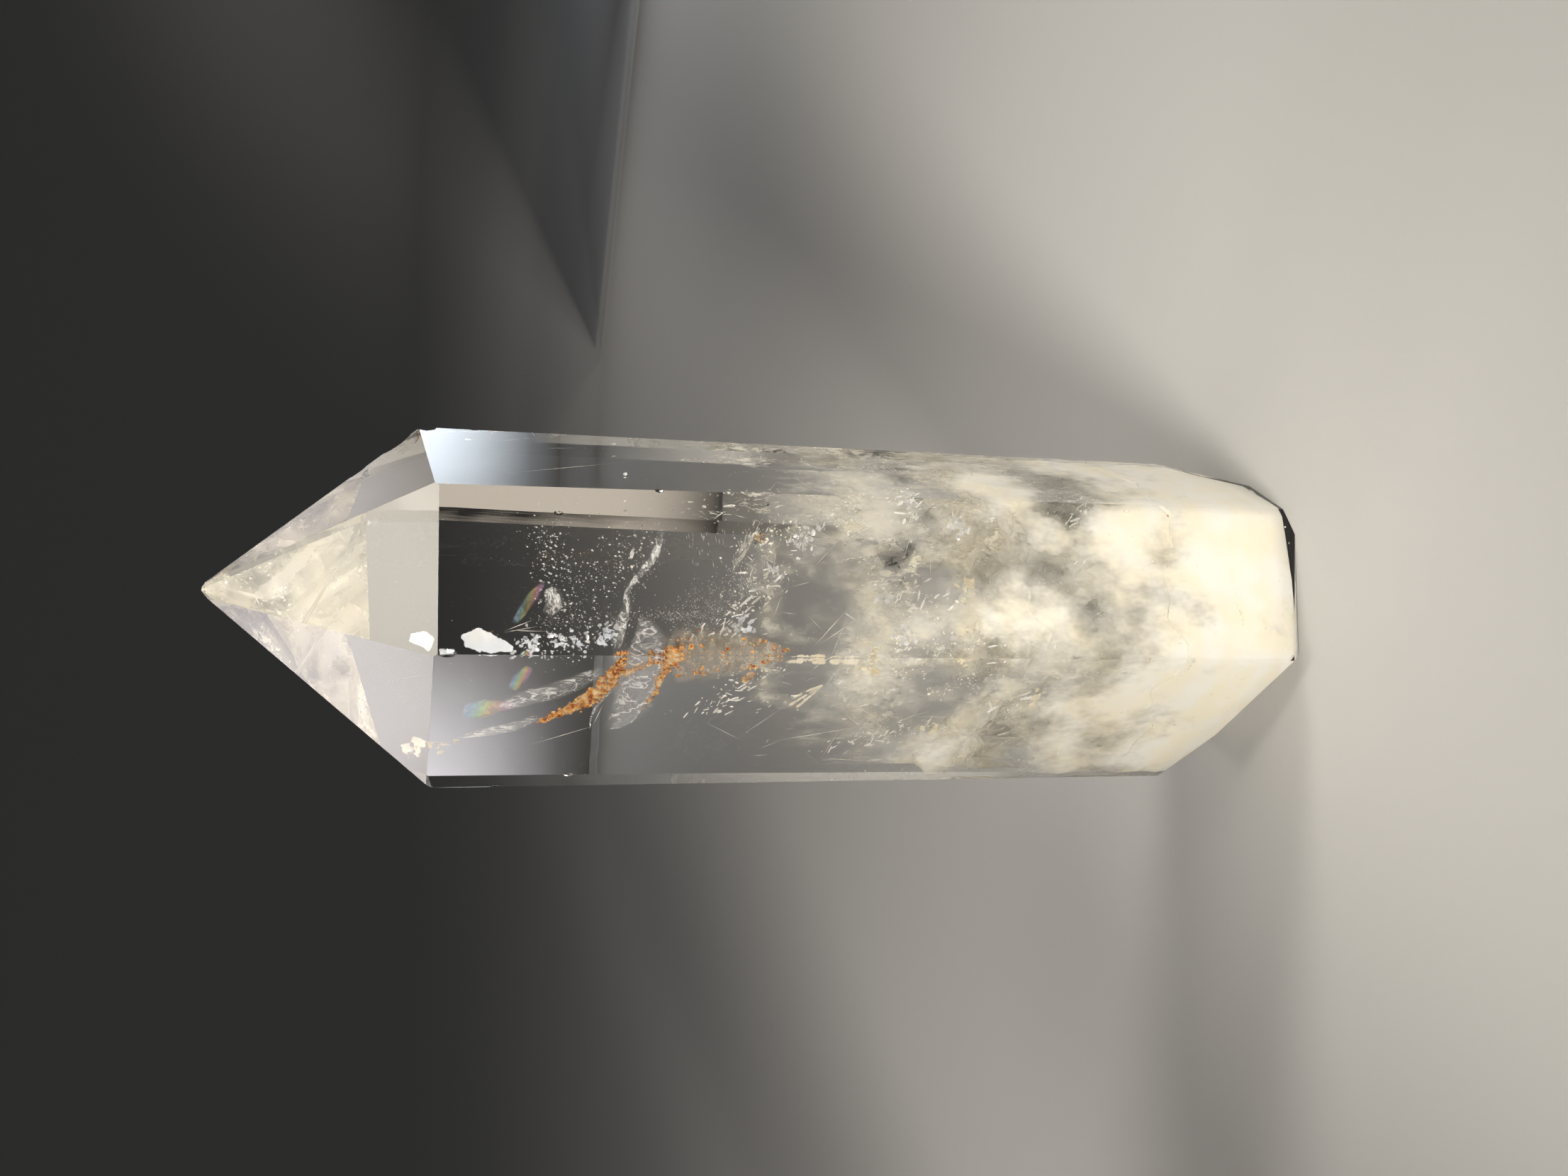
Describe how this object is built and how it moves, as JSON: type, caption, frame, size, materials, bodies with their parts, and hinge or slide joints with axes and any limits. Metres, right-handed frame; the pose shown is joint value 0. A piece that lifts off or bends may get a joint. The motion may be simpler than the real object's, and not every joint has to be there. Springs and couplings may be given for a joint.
{
  "type": "rock crystal point",
  "caption": "Polished clear quartz prism with a faceted point and a flat foot, standing upright, with milky veils and an iron-stained crack inside",
  "frame": {"origin": "middle of the crystal's bounding box, on the plane of its ground foot", "axes": "+Z runs from the foot to the tip, -Y looks out of the widest front face, +X is to the right seen from the front"},
  "size_m": [0.0274, 0.0194, 0.0839],
  "materials": {
    "clear_quartz": "polished, clear above and milky towards the foot"
  },
  "bodies": {
    "root": {"crystal_point": "clear_quartz"}
  },
  "joints": []
}
